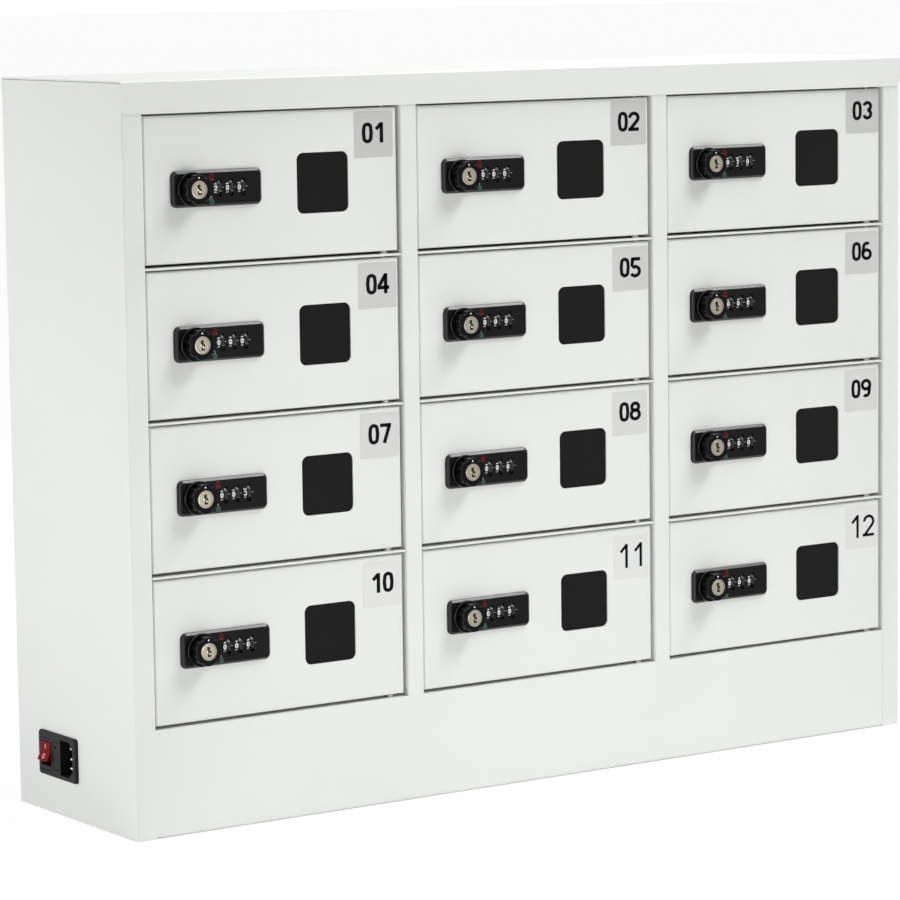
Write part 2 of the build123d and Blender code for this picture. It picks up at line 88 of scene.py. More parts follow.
def finish(name, colour, roughness, lump, depth, metallic=0.0, specular=0.5, drift=0.03,
           cloud=50 * mm, uneven=0.06, stretch=(1, 1, 1)):
    """One finish: a colour that drifts in soft clouds, an uneven gloss and a skin of lumps."""
    material = bpy.data.materials.new(name)
    material.use_nodes = True
    tree = material.node_tree
    shader = tree.nodes["Principled BSDF"]
    shader.inputs["Metallic"].default_value = metallic
    shader.inputs["Specular IOR Level"].default_value = specular
    tones = tree.nodes.new("ShaderNodeValToRGB")
    for stop, place, share in zip(tones.color_ramp.elements, (0.3, 0.7), (1 - drift, 1 + drift)):
        stop.position = place
        stop.color = (*linear(colour) * share, 1)
    gloss = tree.nodes.new("ShaderNodeMapRange")
    gloss.inputs["To Min"].default_value = max(roughness - uneven, 0.02)
    gloss.inputs["To Max"].default_value = roughness + uneven
    skin = tree.nodes.new("ShaderNodeBump")
    skin.inputs["Distance"].default_value = depth
    tree.links.new(noise(tree, cloud), tones.inputs["Fac"])
    tree.links.new(noise(tree, 3 * lump, stretch), gloss.inputs["Value"])
    tree.links.new(noise(tree, lump, stretch), skin.inputs["Height"])
    tree.links.new(tones.outputs["Color"], shader.inputs["Base Color"])
    tree.links.new(gloss.outputs["Result"], shader.inputs["Roughness"])
    tree.links.new(skin.outputs["Normal"], shader.inputs["Normal"])
    return material


def dress(node, material):
    """A piece of the frame keeps its shape and takes a finish."""
    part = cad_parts[node]
    if not part.material_slots:
        part.data.materials.append(material)
    for place in part.material_slots:
        place.material = material


powder_coat = finish("white_powder_coat", coat_colour, coat_roughness, peel_lump, peel_depth,
                     drift=0.012, cloud=120 * mm)
for panel in ("left_side_panel", "right_side_panel", "top_cover", "front_frame", "back_panel"):
    dress(panel, powder_coat)


# ------------------------------------------------------------------ compartments
# Partitions, decks, shelves and the wall that carries the charging ports are plain sheets,
# spot-welded into a grid and coated together with the shell.
dress("compartment_grid", powder_coat)


# ------------------------------------------------------------------ hinge pins
# Shouldered steel pins, riveted through the decks and plated with bright zinc. Each door
# turns on one above and one below it.
zinc_plate = finish("zinc_plate", (158, 157, 153), 0.38, 0.5 * mm, 0.004 * mm, metallic=1.0)
dress("hinge_pins", zinc_plate)


# ------------------------------------------------------------------ doors
# Twelve shallow pans folded from 1 mm steel and coated like the shell. Each has a rounded
# window, a hole for its lock and two holes for the pins that it swings on.
door_skin = 1.0 * mm
door_bend = 1.8 * mm
window_size = 42.2 * mm
window_corner = 5 * mm
window_left = 121.2 * mm
lock_hole_lip = 2.2 * mm
lock_hole_height = 20.6 * mm
pin_hole = 1.55 * mm
pin_side = 9.8 * mm
pin_back = 5 * mm
numbers = ["%02d" % count for count in range(1, 13)]
door_low, door_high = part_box("door_01")
door_size = door_high - door_low
lock_low, lock_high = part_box("lock_case_01")
plate_left = lock_low.x - door_low.x
plate_width = lock_high.x - lock_low.x


def slab(low, high):
    """A closed block between two corners."""
    shape = bmesh.new()
    bmesh.ops.create_cube(shape, size=1)
    low, high = Vector(low), Vector(high)
    bmesh.ops.scale(shape, vec=high - low, verts=shape.verts)
    bmesh.ops.translate(shape, vec=(low + high) / 2, verts=shape.verts)
    return shape


def rod(radius, start, reach, sides=40):
    """A closed round or many-sided bar from a point along a vector."""
    start, reach = Vector(start), Vector(reach)
    turn = reach.to_track_quat("Z", "Y").to_matrix().to_4x4()
    shape = bmesh.new()
    bmesh.ops.create_cone(shape, cap_ends=True, segments=sides, radius1=radius, radius2=radius,
                          depth=reach.length, matrix=Matrix.Translation(start + reach / 2) @ turn)
    return shape


def edges_along(shape, axis):
    """The straight edges that run along one axis, 0 for X, 1 for Y and 2 for Z."""
    runs = [(edge, edge.verts[1].co - edge.verts[0].co) for edge in shape.edges]
    return [edge for edge, run in runs if abs(run[axis]) > 0.999 * run.length]


def rim(shape, axis, side):
    """The edges round the end face at the low side, -1, or the high side, 1, of an axis."""
    end = max(side * vertex.co[axis] for vertex in shape.verts)
    return [edge for edge in shape.edges
            if all(end - side * vertex.co[axis] < 0.001 * mm for vertex in edge.verts)]


def round_off(shape, edges, radius, segments=3):
    """The shape with some of its edges rounded, or cut flat where there is one segment."""
    bmesh.ops.bevel(shape, geom=edges, offset=radius, affect="EDGES", segments=segments,
                    profile=0.5, material=-1)
    return shape


def together(*shapes):
    """Several closed shapes in one mesh; each keeps its own finish number."""
    whole = bmesh.new()
    for shape in shapes:
        part = bpy.data.meshes.new("part")
        shape.to_mesh(part)
        whole.from_mesh(part)
        bpy.data.meshes.remove(part)
    return whole


def painted(shape, number):
    """The shape with all its faces in one of the piece's finishes."""
    for face in shape.faces:
        face.material_index = number
    return shape


def moved(shape, matrix):
    """A copy of the shape, turned or shifted."""
    copy = shape.copy()
    bmesh.ops.transform(copy, matrix=matrix, verts=copy.verts)
    return copy


def stand_in(shape):
    """The shape as a passing object, for a modifier to work on."""
    mesh = bpy.data.meshes.new("stand_in")
    shape.to_mesh(mesh)
    holder = bpy.data.objects.new("stand_in", mesh)
    bpy.context.scene.collection.objects.link(holder)
    return holder


def carve(shape, *tools, way="DIFFERENCE"):
    """The shape with tools cut out of it, or joined to it; the tools don't touch each other."""
    stock, cutter = stand_in(shape), stand_in(together(*tools))
    step = stock.modifiers.new("carve", "BOOLEAN")
    step.operation, step.solver, step.object = way, "EXACT", cutter
    bpy.context.view_layer.update()
    worked = stock.evaluated_get(bpy.context.evaluated_depsgraph_get())
    made = bpy.data.meshes.new_from_object(worked)
    result = bmesh.new()
    result.from_mesh(made)
    for holder in (stock, cutter):
        mesh = holder.data
        bpy.data.objects.remove(holder)
        bpy.data.meshes.remove(mesh)
    bpy.data.meshes.remove(made)
    return result


def add_piece(name, shape, place, body, *finishes, stands_for=(), slot=None):
    """A finished piece at its place, smooth except at its real edges, that moves with its body."""
    mesh = bpy.data.meshes.new(name)
    shape.to_mesh(mesh)
    for material in finishes:
        mesh.materials.append(material)
    mesh.transform(Matrix.Translation(place))
    mesh.shade_smooth()
    mesh.set_sharp_from_angle(angle=math.radians(38))
    piece = bpy.data.objects.new(name, mesh)
    bpy.context.scene.collection.objects.link(piece)
    evened = piece.modifiers.new("even_shading", "WEIGHTED_NORMAL")
    evened.keep_sharp = True
    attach(piece, body)
    if stands_for:
        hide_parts(*stands_for)
    return piece


pan = slab((0, 0, 0), door_size)
round_off(pan, rim(pan, 1, -1), door_bend, 4)
pan = carve(pan, slab((door_skin,) * 3,
                      (door_size.x - door_skin, 2 * door_size.y, door_size.z - door_skin)))
door_middle = door_size.z / 2
window = slab((window_left, -door_skin, door_middle - window_size / 2),
              (window_left + window_size, 2 * door_skin, door_middle + window_size / 2))
round_off(window, edges_along(window, 1), window_corner, 6)
lock_hole = slab((plate_left + lock_hole_lip, -door_skin, door_middle - lock_hole_height / 2),
                 (plate_left + plate_width - lock_hole_lip, 2 * door_skin,
                  door_middle + lock_hole_height / 2))
pin_bore = rod(pin_hole, (door_size.x - pin_side, pin_back, -door_skin),
               (0, 0, door_size.z + 2 * door_skin))
pan = carve(pan, window, lock_hole, pin_bore)
for number in numbers:
    add_piece("door_" + number + "_pan", pan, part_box("door_" + number)[0], "door_" + number,
              powder_coat, stands_for=["door_" + number], slot="door_paint")


# ------------------------------------------------------------------ filled joint
# The joint between the left stile and the plinth is filled flush over its weld before the
# coat goes on. The one on the right is left open and shows as a fine line.
fold_radius = 1.4 * mm
joint = 0.3 * mm
plinth_top = 75.9 * mm
frame_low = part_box("front_frame")[0]
filler = slab((-joint - fold_radius, 0, 0), (0, fold_radius, plinth_top - frame_low.z))
add_piece("plinth_joint_filler", filler, frame_low, "cabinet", powder_coat)


# ------------------------------------------------------------------ window panes
# Smoked acrylic squares, 1.5 mm thick and almost black, glued behind the window of each
# door. Their saw-cut corners are eased.
pane_size = 48.2 * mm
pane_thickness = 1.5 * mm
pane_corner = 3 * mm
pane_edge = 0.2 * mm
smoked_acrylic = finish("smoked_acrylic", (17, 17, 16), 0.3, 8 * mm, 0.004 * mm, specular=0.12,
                        uneven=0.03)
pane = slab((0, 0, 0), (pane_size, pane_thickness, pane_size))
round_off(pane, edges_along(pane, 1), pane_corner, 4)
round_off(pane, rim(pane, 1, -1) + rim(pane, 1, 1), pane_edge, 2)
pane_place = Vector((window_left - (pane_size - window_size) / 2, door_skin,
                     door_middle - pane_size / 2))
for number in numbers:
    add_piece("door_" + number + "_pane", pane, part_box("door_" + number)[0] + pane_place,
              "door_" + number, smoked_acrylic)


# ------------------------------------------------------------------ number labels
# Stickers of satin vinyl, put on by hand in the top right corner of each door and a shade paler
# in each row. The numbers are printed in black; two stickers have thin figures.
label_width = 32.2 * mm
label_height = 32.4 * mm
label_thickness = 0.15 * mm
label_right = (3.2, 2.2, 1.2, 1.7, 1.5, 1.8, 1.7, 2.9, 2.4, 1.5, 2.3, 1.3)
label_top = (2.3, 2.0, 1.1, 2.7, 3.1, 2.9, 3.2, 4.0, 3.0, 3.9, 5.7, 4.3)
label_corner = 1.6 * mm
figure_lift = 1 * mm
ink_thickness = 0.04 * mm
vinyl_shades = [(203, 204, 202), (210, 211, 209), (219, 220, 218), (229, 230, 228)]
bold_print = (14.2 * mm, 2.55 * mm, 1.16, 10 * mm)
thin_print = (17.9 * mm, 2.15 * mm, 1.1, 13.2 * mm)
thin_numbers = ("11", "12")
vinyl = [finish("vinyl_%d" % row, shade, 0.5, 0.6 * mm, 0.002 * mm, drift=0.01)
         for row, shade in enumerate(vinyl_shades, 1)]
black_ink = finish("black_ink", (8, 8, 8), 0.55, 0.3 * mm, 0.001 * mm, specular=0.08)
# Strokes of each figure, one high: a start on X and Z, a heading in degrees, and the moves.
oval = [(-0.2, 0, 90, (1.5, 11), (0.17, 158), (1.5, 22), (0.17, 158), (1.5, 11))]
six = [(-0.23, -0.18, 90, (1.89, 14), (0.18, 120)), (-0.23, -0.18, 90, (0.23, 360))]
nine = [(0.23, 0.18, 270, (1.89, 14), (0.18, 120)), (0.23, 0.18, 270, (0.23, 360))]
figure_strokes = {
    "0": oval,
    "1": [(0.1, -0.5, 90, 1), (0.09, 0.44, 226, 0.38)],
    "2": [(-0.23, 0.18, 90, (0.23, 221), 0.56), (-0.31, -0.41, 0, 0.58)],
    "3": [(-0.19, 0.26, 75, (0.2, 255)), (0, 0.01, 0, (0.21, 255))],
    "4": [(0.11, -0.5, 90, 1), (0.11, 0.46, 240, 0.72), (-0.31, -0.2, 0, 0.6)],
    "5": [(-0.23, 0.41, 0, 0.48), (-0.17, 0.48, 265, 0.45), (-0.19, -0.04, 40, (0.24, 280))],
    "6": six,
    "7": [(-0.29, 0.41, 0, 0.57), (0.2, 0.42, 253, 0.95)],
    "8": [(-0.19, 0.22, 90, (0.19, 360)), (-0.23, -0.18, 90, (0.23, 360))],
    "9": nine,
}


def pen(nib, x, z, heading, *moves):
    """A flat stroke on the XZ plane with square ends, drawn by a nib from a point.

    A move is a length ahead, or the radius and the angle of a bend to the right."""
    shape = bmesh.new()
    point = Vector((x, 0, z))
    ahead = Vector((math.cos(math.radians(heading)), 0, math.sin(math.radians(heading))))
    right = Vector((0, 1, 0)).cross(ahead)
    ends = [shape.verts.new(point + side * nib / 2 * right) for side in (-1, 1)]
    front = ends + [shape.edges.new(ends)]
    for move in moves:
        if isinstance(move, tuple):
            radius, bend = move
            centre = point + radius * right
            drawn = bmesh.ops.spin(shape, geom=front, cent=centre, axis=(0, 1, 0), dvec=(0, 0, 0),
                                   angle=math.radians(bend), steps=math.ceil(bend / 15))
            turn = Matrix.Rotation(math.radians(bend), 3, "Y")
            point = centre + turn @ (point - centre)
            ahead, right = turn @ ahead, turn @ right
        else:
            drawn = bmesh.ops.spin(shape, geom=front, cent=point, axis=(0, 1, 0),
                                   dvec=move * ahead, angle=0, steps=1)
            point = point + move * ahead
        front = drawn["geom_last"]
    bmesh.ops.remove_doubles(shape, verts=shape.verts, dist=nib / 20)
    return shape


def figures(words, height, nib, stretch, advance, thickness):
    """Printed figures, stretched sideways, centred, flat on the XZ plane and facing -Y."""
    strokes = []
    for place, figure in enumerate(words):
        centre = Matrix.Translation(((place - (len(words) - 1) / 2) * advance, 0, 0))
        for stroke in figure_strokes[figure]:
            size = Matrix.Diagonal((height * stretch, height, height, 1))
            strokes.append(moved(pen(nib / height, *stroke), centre @ size))
    shape = together(*strokes)
    raised = bmesh.ops.extrude_face_region(shape, geom=shape.faces[:])
    bmesh.ops.translate(shape, vec=(0, -thickness, 0),
                        verts=[v for v in raised["geom"] if isinstance(v, bmesh.types.BMVert)])
    bmesh.ops.recalc_face_normals(shape, faces=shape.faces)
    return shape


label = slab((-label_width / 2, -label_thickness, -label_height / 2),
             (label_width / 2, 0, label_height / 2))
round_off(label, edges_along(label, 1), label_corner, 4)
for place, number in enumerate(numbers):
    body = "door_" + number
    from_corner = Vector((label_right[place] * mm + label_width / 2, 0,
                          label_top[place] * mm + label_height / 2))
    label_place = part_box(body)[0] + Vector((door_size.x, 0, door_size.z)) - from_corner
    add_piece(body + "_label", label, label_place, body, vinyl[place // 3])
    print_sizes = thin_print if number in thin_numbers else bold_print
    add_piece(body + "_number", figures(number, *print_sizes, ink_thickness),
              label_place + Vector((0, -label_thickness, figure_lift)), body, black_ink)


# ------------------------------------------------------------------ lock cases
# One moulding of black ABS a door: a bezel plate with rounded corners in front of the door, and
# the box behind it that holds the wheels. A shut padlock is printed in red at the top edge and
# an open one in green at the bottom edge, just right of the knob.
plate_height = lock_high.z - lock_low.z
plate_thickness = door_low.y - lock_low.y
lock_depth = lock_high.y - lock_low.y
plate_corner = 4 * mm
plate_bevel = 1.6 * mm
plate_edge = 0.25 * mm
case_lip = 2.5 * mm
case_height = 20 * mm
case_edge = 0.5 * mm
knob_left = 14.8 * mm
spindle_hole = 5.05 * mm
wheel_left = 35 * mm
wheel_pitch = 9.4 * mm
wheel_count = 3
wheel_radius = 8 * mm
wheel_width = 6 * mm
wheel_proud = 1.8 * mm
wheel_gap = 0.5 * mm
band_share = 0.6
band_slot = 7.15 * mm
tooth_slot = 8.5 * mm
wheel_axis = wheel_radius - wheel_proud
mark_left = 31 * mm
shut_mark_level = 6.8 * mm
open_mark_level = -9.2 * mm
padlock_half_width = 1.8 * mm
padlock_low = -1.5 * mm
padlock_high = 1.3 * mm
padlock_corner = 0.3 * mm
shackle_inside = 0.75 * mm
shackle_outside = 1.3 * mm
shackle_stretch = 1.4
shut_shackle = (0, 0, 1.5 * mm)
open_shackle = (-1.1 * mm, 0, 2.1 * mm)
index_gap = 0.3 * mm
index_low = 0.2 * mm
index_high = 0.6 * mm
wheel_places = [wheel_left + count * wheel_pitch for count in range(wheel_count)]
black_abs = finish("black_abs", (22, 22, 22), 0.4, 0.25 * mm, 0.006 * mm, specular=0.08,
                   drift=0.05)
bezel_edge = finish("polished_bezel_edge", (20, 20, 20), 0.3, 4 * mm, 0.001 * mm, specular=0.5)
red_print = finish("red_print", (108, 24, 28), 0.5, 0.3 * mm, 0.001 * mm, specular=0.2)
green_print = finish("green_print", (44, 86, 73), 0.5, 0.3 * mm, 0.001 * mm, specular=0.2)
pale_print = finish("pale_print", (150, 158, 156), 0.5, 0.3 * mm, 0.001 * mm, specular=0.2)


def lathe(profile, sides=64, closed=False):
    """A turned shape about the Y axis from (radius, y) points, which may end on the axis."""
    shape = bmesh.new()
    points = [shape.verts.new((radius, along, 0)) for radius, along in profile]
    ends = list(zip(points, points[1:])) + ([(points[-1], points[0])] if closed else [])
    edges = [shape.edges.new(pair) for pair in ends]
    bmesh.ops.spin(shape, geom=points + edges, cent=(0, 0, 0), axis=(0, 1, 0), dvec=(0, 0, 0),
                   angle=2 * math.pi, steps=sides, use_merge=True)
    bmesh.ops.remove_doubles(shape, verts=shape.verts, dist=0.0005 * mm)
    bmesh.ops.recalc_face_normals(shape, faces=shape.faces)
    return shape


def padlock(body_print, shackle_print, shackle_place):
    """A small printed padlock that faces -Y: a square body under a bent shackle."""
    body = slab((-padlock_half_width, -ink_thickness, padlock_low),
                (padlock_half_width, 0, padlock_high))
    round_off(body, edges_along(body, 1), padlock_corner, 2)
    shackle = lathe([(shackle_inside, 0), (shackle_outside, 0), (shackle_outside, -ink_thickness),
                     (shackle_inside, -ink_thickness)], 20, closed=True)
    bmesh.ops.scale(shackle, vec=(1, 1, shackle_stretch), verts=shackle.verts)
    shackle = moved(shackle, Matrix.Translation(shackle_place))
    return together(painted(body, body_print), painted(shackle, shackle_print))


housing = slab((0, 0, -plate_height / 2), (plate_width, plate_thickness, plate_height / 2))
round_off(housing, edges_along(housing, 1), plate_corner, 6)
round_off(housing, rim(housing, 1, -1), plate_bevel, 1)
# The sloping faces round the plate are polished.
for face in housing.faces:
    if 0.1 < -face.normal.y < 0.9:
        face.material_index = 1
round_off(housing, rim(housing, 1, -1), plate_edge, 2)
box = slab((case_lip, plate_thickness / 2, -case_height / 2),
           (plate_width - case_lip, lock_depth, case_height / 2))
round_off(box, rim(box, 1, 1), case_edge, 2)
housing = carve(housing, box, way="UNION")
slot_half = wheel_width / 2 + wheel_gap
split = (band_share - 0.5) * wheel_width
housing = carve(housing, rod(spindle_hole, (knob_left, -1 * mm, 0), (0, 2 * lock_depth, 0)),
                *[rod(band_slot, (x - slot_half, wheel_axis, 0), (2 * slot_half, 0, 0))
                  for x in wheel_places])
housing = carve(housing, *[rod(tooth_slot, (x + split, wheel_axis, 0), (slot_half - split, 0, 0))
                           for x in wheel_places])
# Prints: 0 red, 1 green and 2 pale.
shut_mark = moved(padlock(0, 0, shut_shackle),
                  Matrix.Translation((mark_left, 0, shut_mark_level)))
open_mark = moved(padlock(1, 2, open_shackle),
                  Matrix.Translation((mark_left, 0, open_mark_level)))
index_lines = [painted(slab((x + slot_half + index_gap, -ink_thickness, index_low),
                            (x + wheel_pitch - slot_half - index_gap, 0, index_high)), 2)
               for x in wheel_places]
lock_print = together(shut_mark, open_mark, *index_lines)
lock_places = {}
for number in numbers:
    low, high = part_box("lock_case_" + number)
    lock_places[number] = Vector((low.x, low.y, (low.z + high.z) / 2))
for number in numbers:
    add_piece("lock_" + number + "_case", housing, lock_places[number], "door_" + number,
              black_abs, bezel_edge, stands_for=["lock_case_" + number], slot="lock_plastic")
    add_piece("lock_" + number + "_marks", lock_print, lock_places[number], "door_" + number,
              red_print, green_print, pale_print)


# ------------------------------------------------------------------ combination wheels
# Three black wheels on a steel axle in each lock. A wheel has ten flats with white figures and,
# on its right, a ring of ten teeth for the thumb. Most locks are left at 000.
flat_radius = 6.6 * mm
flats = 10
band_edge = 0.3 * mm
tooth_depth = 1.0 * mm
tooth_gap = 0.3
digit_print = (3.3 * mm, 0.7 * mm, 1.3, 0, 0.06 * mm)
axle_radius = 1.5 * mm
axle_end = 4 * mm
codes = {"01": "200", "03": "070", "07": "003"}
wheel_plastic = finish("wheel_plastic", (16, 16, 17), 0.3, 0.3 * mm, 0.004 * mm, specular=0.4)
wheel_figures = finish("wheel_figures", (232, 232, 230), 0.5, 0.3 * mm, 0.001 * mm)


def wheel_with(shown):
    """One wheel about the X axis with a figure to the front, in finishes 0 and 1."""
    step = 2 * math.pi / flats
    band = rod(flat_radius / math.cos(step / 2), (-wheel_width / 2, 0, 0),
               (wheel_width / 2 + split, 0, 0), flats)
    round_off(band, rim(band, 0, -1), band_edge, 1)
    teeth = rod(wheel_radius, (split, 0, 0), (wheel_width / 2 - split, 0, 0), 4 * flats)
    for vertex in teeth.verts:
        turn = math.atan2(vertex.co.z, -vertex.co.y) / step
        if abs(turn - round(turn)) < tooth_gap:
            share = 1 - tooth_depth / wheel_radius
            vertex.co.y *= share
            vertex.co.z *= share
    parts = [painted(band, 0), painted(teeth, 0)]
    for figure in range(flats):
        digit = painted(figures(str(figure), *digit_print), 1)
        out = Matrix.Translation((split / 2 - wheel_width / 4, -flat_radius, 0))
        turn = Matrix.Rotation((figure - shown) * step, 4, "X")
        parts.append(moved(digit, turn @ out))
    return together(*parts)


wheels = {shown: wheel_with(int(shown)) for shown in sorted(set("0" + "".join(codes.values())))}
axle = rod(axle_radius, (wheel_places[0] - wheel_width / 2 - axle_end, wheel_axis, 0),
           (wheel_places[-1] - wheel_places[0] + wheel_width + 2 * axle_end, 0, 0), 24)
round_off(axle, rim(axle, 0, -1) + rim(axle, 0, 1), 0.2 * mm, 1)
for number in numbers:
    code = codes.get(number, "000")
    set_wheels = [moved(wheels[shown], Matrix.Translation((x, wheel_axis, 0)))
                  for shown, x in zip(code, wheel_places)]
    add_piece("dials_" + number + "_wheels", together(*set_wheels, painted(axle, 2)),
              lock_places[number], "dials_" + number, wheel_plastic, wheel_figures, zinc_plate,
              stands_for=["dials_" + number], slot="dial_plastic")


# ------------------------------------------------------------------ knobs and key plugs
# A black zinc knob with six thumb grooves turns the cam behind the door. A nickel key plug
# sits in its nose for the master key, and a white dot shows how far it is turned.
knob_collar = 11.8 * mm
knob_radius = 10.2 * mm
knob_gap = 0.3 * mm
collar_top = 2.9 * mm
nose = 10.5 * mm
plug_hole = 6.25 * mm
plug_radius = 6.2 * mm
plug_seat = 2.7 * mm
plug_proud = 0.5 * mm
spindle_radius = 5 * mm
stud_radius = 2.5 * mm
grooves = 6
groove_radius = 2.4 * mm
groove_depth = 1.2 * mm
ridge_edge = 0.6 * mm
nose_edge = 0.45 * mm
chamfer = 0.3 * mm
shoulder = 0.8 * mm
shoulder_cut = 0.25 * mm
dot_radius = 0.6 * mm
dot_thickness = 0.05 * mm
cam_thickness = 2 * mm
cam_width = 12 * mm
cam_corner = 4.5 * mm
cam_edge = 0.25 * mm
nut_radius = 5.5 * mm
nut_height = 2.5 * mm
nut_edge = 0.4 * mm
# The plug's face from its rim to its dished middle: millimetres inwards and back.
plug_face = ((0, 0.4), (0.15, 0.1), (0.4, 0), (0.9, 0), (1, 0.3), (1.3, 0.3), (1.5, 0.1))
# The keyway is a slot in three steps, with two slanted wards on its right and one on its left:
# millimetres to the left and right edges, and to the low edge and the high one of a step.
keyway_depth = 5.5 * mm
keyway_steps = ((-1.5, 0.8, 0.5, 3.5), (-1.3, 1.7, -1.2, 0.8), (-1.1, 1.6, -3.5, -0.9))
keyway_wards = ((0.5, 2, 0.7), (0.5, 2, -2), (-1.8, -0.5, -0.6))
ward_set_back = 0.4 * mm
ward_slant = 0.7 * mm
cam_rear = lock_depth + knob_gap
stud_end = cam_rear + cam_thickness + nut_height
black_enamel = finish("black_enamel", (11, 11, 12), 0.25, 0.35 * mm, 0.003 * mm, specular=0.08,
                      drift=0.05, uneven=0.04)
worn_edge = finish("worn_enamel_edge", (22, 22, 23), 0.3, 0.35 * mm, 0.001 * mm, specular=0.6,
                   uneven=0.04)
white_dot = finish("white_dot", (240, 240, 238), 0.45, 0.3 * mm, 0.001 * mm)
nickel = finish("nickel", (166, 160, 146), 0.3, 0.16 * mm, 0.004 * mm, metallic=1.0,
                uneven=0.08, stretch=(1, 1, 6))

grip = rod(knob_radius, (0, -nose, 0), (0, nose - collar_top + 0.1 * mm, 0), 96)
groove = rod(groove_radius, (0, -nose - 1 * mm, knob_radius - groove_depth + groove_radius),
             (0, nose + 1 * mm - collar_top, 0), 32)
groove_turns = [math.radians((count + 0.5) * 360 / grooves) for count in range(grooves)]
grip = carve(grip, *[moved(groove, Matrix.Rotation(turn, 4, "Y")) for turn in groove_turns])
ridges = [edge for edge in edges_along(grip, 1) if edge.calc_face_angle(0) > math.radians(20)]
round_off(grip, ridges, ridge_edge, 3)
round_off(grip, rim(grip, 1, -1), nose_edge, 2)
mouth = lathe([(0, -plug_seat), (plug_hole, -plug_seat), (plug_hole, -nose + chamfer),
               (plug_hole + 0.4 * mm, -nose - 0.1 * mm), (0, -nose - 0.1 * mm)])
base = lathe([(0, stud_end), (stud_radius - chamfer, stud_end), (stud_radius, stud_end - chamfer),
              (stud_radius, cam_rear), (spindle_radius, cam_rear), (spindle_radius, -knob_gap),
              (knob_collar - chamfer, -knob_gap), (knob_collar, -knob_gap - chamfer),
              (knob_collar, -collar_top + shoulder),
              (knob_collar - shoulder_cut, -collar_top + shoulder_cut),
              (knob_collar - shoulder, -collar_top), (0, -collar_top)], sides=96)
dot = rod(dot_radius, (0, -nose, (plug_hole + knob_radius - 0.2 * mm) / 2),
          (0, -dot_thickness, 0), 20)
grip = together(carve(grip, mouth), carve(base, mouth), painted(dot, 1))
# Handling has polished the rim of the nose and the shoulder of the collar.
for face in grip.faces:
    along = -face.calc_center_median().y
    on_shoulder = collar_top - 0.9 * mm < along < collar_top
    on_nose = along > nose - 1 * mm
    if 0.2 < -face.normal.y < 0.9 and (on_shoulder or on_nose):
        face.material_index = 2

plug_nose = nose + plug_proud
plug = lathe([(0, -plug_seat - 0.2 * mm), (plug_radius, -plug_seat - 0.2 * mm),
              *[(plug_radius - inwards * mm, -plug_nose + back * mm)
                for inwards, back in plug_face],
              (0, -plug_nose + plug_face[-1][1] * mm)], sides=64)
for left, right, low, high in keyway_steps:
    plug = carve(plug, slab((left * mm, -plug_nose - 1 * mm, low * mm),
                            (right * mm, -plug_nose + keyway_depth - low / 100 * mm, high * mm)))
wards = []
for left, right, low in keyway_wards:
    ward = slab((left * mm, -plug_nose + ward_set_back, low * mm),
                (right * mm, -plug_nose + keyway_depth, (low + 1.2) * mm))
    for vertex in ward.verts:
        if vertex.co.y < 0 and vertex.co.z > (low + 1) * mm:
            vertex.co.y += ward_slant
    wards.append(ward)
plug = together(plug, *wards)

knob_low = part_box("knob_01")[0].z - lock_places["01"].z
cam = slab((-cam_width / 2, cam_rear, knob_low),
           (cam_width / 2, cam_rear + cam_thickness, cam_width / 2))
round_off(cam, edges_along(cam, 1), cam_corner, 6)
round_off(cam, rim(cam, 1, -1) + rim(cam, 1, 1), cam_edge, 2)
nut = rod(nut_radius, (0, cam_rear + cam_thickness, 0), (0, nut_height, 0), 6)
round_off(nut, rim(nut, 1, 1), nut_edge, 2)
for number in numbers:
    place = lock_places[number] + Vector((knob_left, 0, 0))
    body = "knob_" + number
    add_piece(body + "_grip", grip, place, body, black_enamel, white_dot, worn_edge,
              stands_for=[body], slot="knob_plastic")
    add_piece(body + "_key_plug", plug, place, body, nickel)
    add_piece(body + "_cam", together(cam, nut), place, body, zinc_plate)


# ------------------------------------------------------------------ power inlet
# A snap-in mains module in the left side: a bevelled flange of dark thermoplastic round a
# keyed three-pin recess, the pocket of the fuse drawer and the well of the switch.
inlet_low, inlet_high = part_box("power_inlet")
inlet_face = inlet_low.x
inlet_centre = Vector((inlet_face, (inlet_low.y + inlet_high.y) / 2,
                       (inlet_low.z + inlet_high.z) / 2))
half_length = (inlet_high.y - inlet_low.y) / 2
half_height = (inlet_high.z - inlet_low.z) / 2
inlet_depth = inlet_high.x - inlet_low.x
flange_thickness = 2.6 * mm
flange_lip = 2 * mm
flange_corner = 2.5 * mm
flange_bevel = 1.3 * mm
recess_front = 4.2 * mm
recess_length = 17.7 * mm
recess_height = 25.4 * mm
recess_depth = 17 * mm
recess_key = 5 * mm
contact_length = 13.2 * mm
contact_half_width = 2 * mm
contact_half_height = 1 * mm
contact_edge = 0.6 * mm
contact_pitch = 7 * mm
contact_stagger = 2.5 * mm
earth_lead = 0.8 * mm
drawer_low, drawer_high = (corner - inlet_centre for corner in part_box("fuse_drawer"))
rocker_gap = 2.9 * mm
rocker_half = 7 * mm
rocker_middle = drawer_high.y + rocker_gap + rocker_half
well_half = 8.88 * mm
well_depth = 14 * mm
line_levels = (-12.2 * mm, 10.9 * mm)
line_half = 0.3 * mm
line_sink = 0.8 * mm
fit = 0.3 * mm
inlet_plastic = finish("inlet_thermoplastic", (38, 38, 38), 0.45, 0.3 * mm, 0.008 * mm,
                       specular=0.1, drift=0.05)
contact_metal = finish("contact_metal", (236, 236, 233), 0.16, 0.2 * mm, 0.001 * mm,
                       metallic=1.0)

